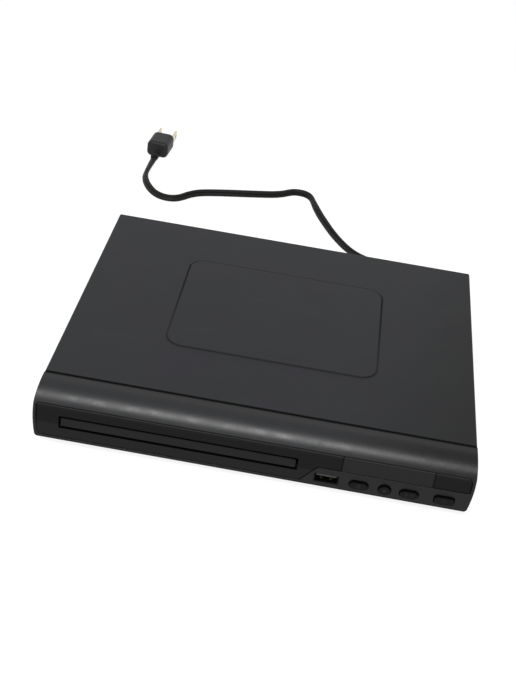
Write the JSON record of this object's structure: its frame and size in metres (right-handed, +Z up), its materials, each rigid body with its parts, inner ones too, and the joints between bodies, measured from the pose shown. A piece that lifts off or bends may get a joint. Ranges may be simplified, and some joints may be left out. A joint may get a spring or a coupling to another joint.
{
  "type": "disc player with tray",
  "caption": "Slim black disc player: sliding tray behind a slot, keys and socket on the front, bent cover with a raised panel, mains cord behind.",
  "frame": {"origin": "on the floor, below the middle of the player's own box (cord left out)", "axes": "+X to the right as seen from the front, +Y to the back, +Z up"},
  "size_m": [0.2497, 0.4112, 0.0381],
  "materials": {
    "cover_paint": "fine-textured black baked paint on sheet steel",
    "chassis_steel": "bright zinc-plated sheet steel",
    "bezel_plastic": "satin black moulded plastic, finely textured",
    "trim_plastic": "smooth black plastic panel",
    "door_plastic": "smooth black plastic",
    "window_plastic": "dark smoked plastic",
    "key_plastic": "satin black plastic with a pale printed mark",
    "foot_rubber": "black rubber",
    "screw_steel": "black-finished steel",
    "inner_screw_steel": "zinc-plated steel",
    "frame_plastic": "black moulded plastic",
    "tray_plastic": "black moulded plastic, fine spark texture",
    "gear_plastic": "natural white acetal",
    "belt_rubber": "black rubber",
    "motor_steel": "plated steel can",
    "clamp_steel": "pressed steel sheet",
    "clamp_plastic": "dark moulded plastic",
    "damper_rubber": "soft blue rubber",
    "pad_rubber": "black rubber",
    "rod_steel": "ground and polished steel",
    "pickup_plastic": "black glass-filled plastic",
    "lens_glass": "coated optical dome",
    "board_green": "green solder-masked laminate",
    "board_brown": "pale brown laminate",
    "switch_plastic": "black switch body with a steel frame",
    "display_plastic": "black display block with pale digits",
    "shell_steel": "nickel-plated folded shell",
    "chip_plastic": "black moulded package",
    "capacitor_sleeve": "printed plastic sleeve with a bare aluminium top",
    "connector_plastic": "natural white nylon",
    "coil_tape": "yellow tape over windings, dark core",
    "fuse_glass": "glass tube with plated end caps",
    "sink_aluminium": "extruded aluminium",
    "wiring": "insulated wires and ribbon",
    "jack_plastic": "black moulded socket block",
    "barrel_nickel": "nickel-plated barrel",
    "insert_plastic": "coloured socket inserts: yellow, white, red",
    "cord_pvc": "black flexible plastic",
    "tie_plastic": "black plastic-coated twist tie",
    "blade_brass": "plated brass"
  },
  "bodies": {
    "housing": {"base_chassis": "chassis_steel", "feet": "foot_rubber", "top_cover": "cover_paint", "cover_screws": "screw_steel", "front_bezel": "bezel_plastic", "front_trim": "trim_plastic", "display_window": "window_plastic", "loader_frame": "frame_plastic", "clamp_bridge": "clamp_steel", "inner_screws": "inner_screw_steel", "drive_belt": "belt_rubber", "tray_motor": "motor_steel", "front_board": "board_brown", "key_switches": "switch_plastic", "display_module": "display_plastic", "usb_port": "shell_steel", "chips": "chip_plastic", "capacitors": "capacitor_sleeve", "connectors": "connector_plastic", "coils": "coil_tape", "mains_fuse": "fuse_glass", "heat_sink": "sink_aluminium", "inner_wiring": "wiring", "circuit_boards": "board_green", "av_jack_block": "jack_plastic", "jack_barrels": "barrel_nickel", "jack_inserts": "insert_plastic", "hdmi_port": "shell_steel", "strain_relief": "cord_pvc", "cord_hank": "cord_pvc", "cord_tie": "tie_plastic", "plug_body": "cord_pvc", "plug_blades": "blade_brass", "cord_lead": "cord_pvc", "cord_run": "cord_pvc"},
    "tray": {"disc_tray": "tray_plastic", "tray_door": "door_plastic"},
    "gear": {"tray_gear": "gear_plastic"},
    "pulley": {"belt_pulley": "gear_plastic"},
    "motor_rotor": {"motor_pulley": "gear_plastic"},
    "cam": {"cam_slider": "gear_plastic"},
    "deck": {"deck_frame": "frame_plastic", "deck_dampers": "damper_rubber", "deck_plate": "chassis_steel", "spindle_motor": "motor_steel", "guide_rods": "rod_steel", "rod_clips": "frame_plastic", "sled_motor": "motor_steel"},
    "spindle": {"turntable": "clamp_plastic", "turntable_pad": "pad_rubber"},
    "clamp": {"clamp_disc": "clamp_plastic", "clamp_cap": "clamp_plastic"},
    "pickup": {"optical_pickup": "pickup_plastic", "objective_lens": "lens_glass"},
    "sled_rotor": {"sled_screw": "rod_steel"},
    "eject_key": {"key_eject": "key_plastic"},
    "stop_key": {"key_stop": "key_plastic"},
    "play_key": {"key_play": "key_plastic"},
    "power_key": {"key_power": "key_plastic"}
  },
  "joints": [
    {"name": "tray_slide", "type": "slide", "parent": "housing", "child": "tray", "axis": [0, -1, 0], "range_m": [0, 0.125]},
    {"name": "tray_gear_spin", "type": "hinge", "parent": "housing", "child": "gear", "pos_m": [0.0023, -0.082, 0.014], "axis": [0, 0, 1], "range_deg": [-900, 0]},
    {"name": "belt_pulley_spin", "type": "hinge", "parent": "housing", "child": "pulley", "pos_m": [-0.0169, -0.082, 0.0115], "axis": [0, 0, 1], "range_deg": [0, 2690]},
    {"name": "motor_pulley_spin", "type": "hinge", "parent": "housing", "child": "motor_rotor", "pos_m": [0.044, -0.076, 0.0115], "axis": [0, 0, 1], "range_deg": [0, 6660]},
    {"name": "cam_slide", "type": "slide", "parent": "housing", "child": "cam", "axis": [-1, 0, 0], "range_m": [0, 0.018]},
    {"name": "deck_tilt", "type": "hinge", "parent": "housing", "child": "deck", "pos_m": [0, 0.066, 0.014], "axis": [1, 0, 0], "range_deg": [0, 2.4]},
    {"name": "turntable_spin", "type": "hinge", "parent": "deck", "child": "spindle", "pos_m": [-0.0397, -0.038, 0.0182], "axis": [0, 0, 1], "continuous": true},
    {"name": "clamp_spin", "type": "hinge", "parent": "housing", "child": "clamp", "pos_m": [-0.0397, -0.038, 0.024], "axis": [0, 0, 1], "continuous": true},
    {"name": "pickup_slide", "type": "slide", "parent": "deck", "child": "pickup", "axis": [0, 1, 0], "range_m": [0, 0.035]},
    {"name": "sled_screw_spin", "type": "hinge", "parent": "deck", "child": "sled_rotor", "pos_m": [-0.0097, -0.02, 0.0134], "axis": [0, 1, 0], "range_deg": [0, 4200]},
    {"name": "eject_press", "type": "slide", "parent": "housing", "child": "eject_key", "axis": [0, 1, 0], "range_m": [0, 0.0008], "stiffness_N_per_m": 600},
    {"name": "stop_press", "type": "slide", "parent": "housing", "child": "stop_key", "axis": [0, 1, 0], "range_m": [0, 0.0008], "stiffness_N_per_m": 600},
    {"name": "play_press", "type": "slide", "parent": "housing", "child": "play_key", "axis": [0, 1, 0], "range_m": [0, 0.0008], "stiffness_N_per_m": 600},
    {"name": "power_press", "type": "slide", "parent": "housing", "child": "power_key", "axis": [0, 1, 0], "range_m": [0, 0.0008], "stiffness_N_per_m": 600}
  ],
  "couplings": [
    {"joint": "tray_gear_spin", "follows": "tray_slide", "rad_per_m": -125},
    {"joint": "belt_pulley_spin", "follows": "tray_slide", "rad_per_m": 375},
    {"joint": "motor_pulley_spin", "follows": "tray_slide", "rad_per_m": 928.57},
    {"joint": "cam_slide", "follows": "tray_slide", "ratio": 0.144},
    {"joint": "deck_tilt", "follows": "tray_slide", "rad_per_m": 0.3351},
    {"joint": "clamp_spin", "follows": "turntable_spin", "ratio": 1},
    {"joint": "sled_screw_spin", "follows": "pickup_slide", "rad_per_m": 2094.4}
  ]
}
